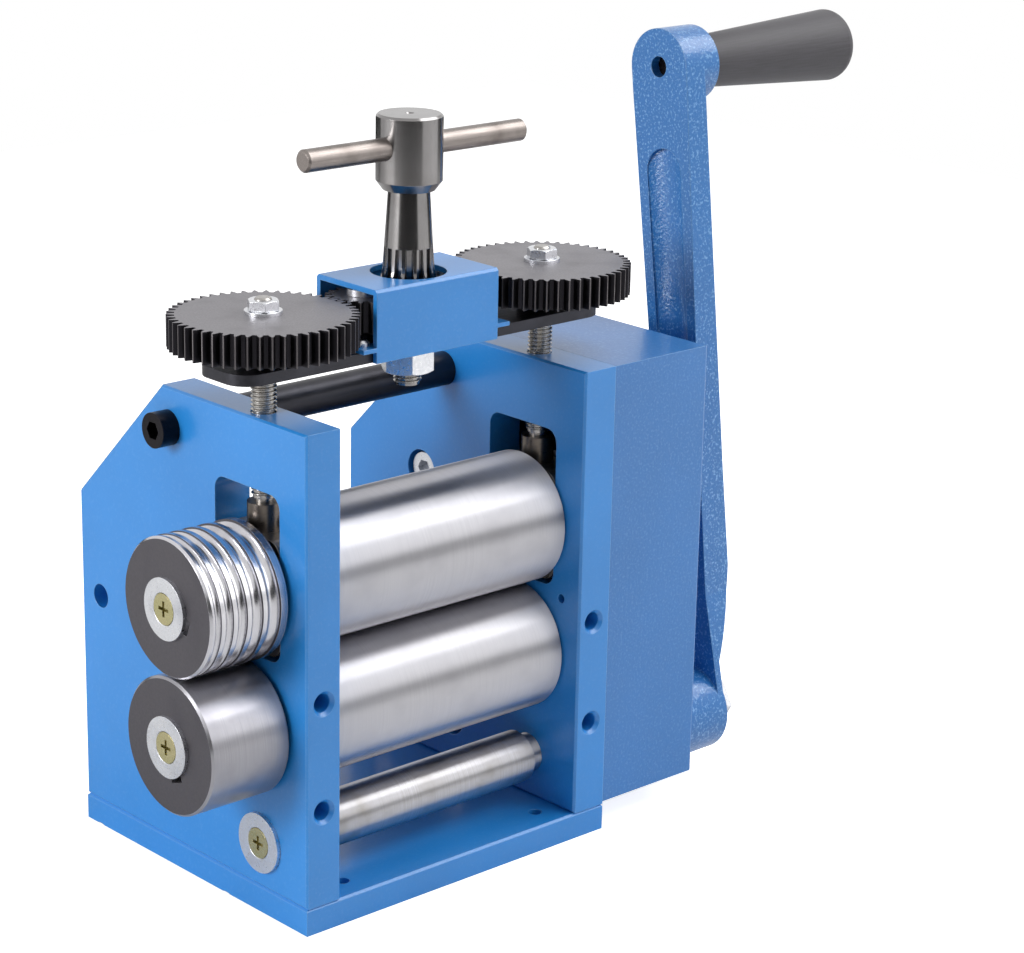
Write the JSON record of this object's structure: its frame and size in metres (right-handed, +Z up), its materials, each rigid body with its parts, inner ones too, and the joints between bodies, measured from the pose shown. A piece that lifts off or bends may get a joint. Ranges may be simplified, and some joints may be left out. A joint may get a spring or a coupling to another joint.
{
  "type": "rolling mill",
  "caption": "Hand cranked jeweller's rolling mill: two plain rolls, overhung plain and grooved side rolls, geared T-handle screw-down, side gearbox and long crank.",
  "frame": {"origin": "centre of the base plate's underside", "axes": "+X towards the gearbox and crank, -Y the operator's side, +Z up"},
  "size_m": [0.3456, 0.133, 0.2909],
  "materials": {
    "enamel": "gloss",
    "ground_steel": "polished",
    "tool_steel": "satin",
    "gear_steel": "satin",
    "dark_steel": "oiled",
    "zinc": "satin",
    "yellow_zinc": "satin",
    "black_oxide": "satin",
    "bronze": "satin",
    "grip_rubber": "matte"
  },
  "bodies": {
    "frame": {"base_plate": "enamel", "left_plate": "enamel", "right_plate": "enamel", "gearbox_case": "enamel", "tie_rod": "black_oxide", "tie_rod_screws": "black_oxide", "guide_bar": "ground_steel", "guide_bar_washer": "zinc", "guide_bar_screw": "yellow_zinc", "base_screws": "black_oxide", "lower_bushes": "bronze", "gearbox_screws": "zinc", "crank_bushes": "bronze", "drive_idler_shaft": "tool_steel", "drive_idler_ring": "dark_steel"},
    "lower_roll_shaft": {"lower_roll": "ground_steel", "lower_side_roll": "tool_steel", "lower_roll_keys": "dark_steel", "lower_side_washer": "zinc", "lower_side_screw": "yellow_zinc", "lower_roll_gear": "gear_steel", "reduction_gear": "gear_steel", "lower_gear_ring": "dark_steel"},
    "upper_roll_shaft": {"upper_roll": "ground_steel", "upper_side_roll": "tool_steel", "upper_roll_keys": "dark_steel", "upper_side_washer": "zinc", "upper_side_screw": "yellow_zinc", "upper_roll_gear": "gear_steel", "upper_gear_ring": "dark_steel"},
    "drive_idler": {"drive_idler_gear": "gear_steel"},
    "crank": {"crank_shaft": "tool_steel", "crank_arm": "enamel", "crank_key": "dark_steel", "crank_washer": "zinc", "crank_nut": "zinc", "grip_pin": "tool_steel"},
    "hand_grip": {"grip": "grip_rubber"},
    "carriage": {"left_bearing_block": "tool_steel", "right_bearing_block": "tool_steel", "pressing_caps": "dark_steel", "bridge_bar": "black_oxide", "pinion_cover": "enamel", "cover_screws": "zinc", "idler_pins": "zinc"},
    "left_screw": {"left_lift_screw": "tool_steel", "left_lift_gear": "gear_steel", "left_gear_washer": "zinc", "left_gear_nut": "zinc"},
    "right_screw": {"right_lift_screw": "tool_steel", "right_lift_gear": "gear_steel", "right_gear_washer": "zinc", "right_gear_nut": "zinc"},
    "t_handle": {"t_shaft": "dark_steel", "tommy_bar": "dark_steel", "t_washer": "zinc", "t_nut": "zinc"},
    "left_idler": {"left_idler_gear": "gear_steel"},
    "right_idler": {"right_idler_gear": "gear_steel"}
  },
  "joints": [
    {"name": "lift", "type": "slide", "parent": "frame", "child": "carriage", "axis": [0, 0, 1], "range_m": [0, 0.0045]},
    {"name": "t_turn", "type": "hinge", "parent": "carriage", "child": "t_handle", "pos_m": [0, -0.034, 0.25], "axis": [0, 0, 1], "range_deg": [0, 3857.19]},
    {"name": "left_screw_turn", "type": "hinge", "parent": "carriage", "child": "left_screw", "pos_m": [-0.06375, -0.034, 0.2], "axis": [0, 0, 1], "range_deg": [0, 1080.05]},
    {"name": "right_screw_turn", "type": "hinge", "parent": "carriage", "child": "right_screw", "pos_m": [0.06375, -0.034, 0.2], "axis": [0, 0, 1], "range_deg": [0, 1080.05]},
    {"name": "left_idler_turn", "type": "hinge", "parent": "carriage", "child": "left_idler", "pos_m": [-0.02063, -0.034, 0.208], "axis": [0, 0, 1], "range_deg": [-2842.16, 0]},
    {"name": "right_idler_turn", "type": "hinge", "parent": "carriage", "child": "right_idler", "pos_m": [0.02063, -0.034, 0.208], "axis": [0, 0, 1], "range_deg": [-2842.16, 0]},
    {"name": "lower_roll_turn", "type": "hinge", "parent": "frame", "child": "lower_roll_shaft", "pos_m": [0, -0.034, 0.07], "axis": [1, 0, 0], "continuous": true},
    {"name": "upper_roll_turn", "type": "hinge", "parent": "carriage", "child": "upper_roll_shaft", "pos_m": [0, -0.034, 0.12], "axis": [1, 0, 0], "continuous": true},
    {"name": "drive_idler_turn", "type": "hinge", "parent": "frame", "child": "drive_idler", "pos_m": [0.1, -0.02676, 0.0364], "axis": [1, 0, 0], "continuous": true},
    {"name": "crank_turn", "type": "hinge", "parent": "frame", "child": "crank", "pos_m": [0.1, -0.045, 0.0255], "axis": [1, 0, 0], "continuous": true},
    {"name": "grip_turn", "type": "hinge", "parent": "crank", "child": "hand_grip", "pos_m": [0.2, -0.01486, 0.2764], "axis": [1, 0, 0], "continuous": true}
  ],
  "couplings": [
    {"joint": "t_turn", "follows": "lift", "rad_per_m": 14960},
    {"joint": "left_screw_turn", "follows": "lift", "rad_per_m": 4188.8},
    {"joint": "right_screw_turn", "follows": "lift", "rad_per_m": 4188.8},
    {"joint": "left_idler_turn", "follows": "lift", "rad_per_m": -11023},
    {"joint": "right_idler_turn", "follows": "lift", "rad_per_m": -11023},
    {"joint": "upper_roll_turn", "follows": "lower_roll_turn", "ratio": -1},
    {"joint": "drive_idler_turn", "follows": "lower_roll_turn", "ratio": -1.75},
    {"joint": "crank_turn", "follows": "lower_roll_turn", "ratio": 2.5}
  ]
}
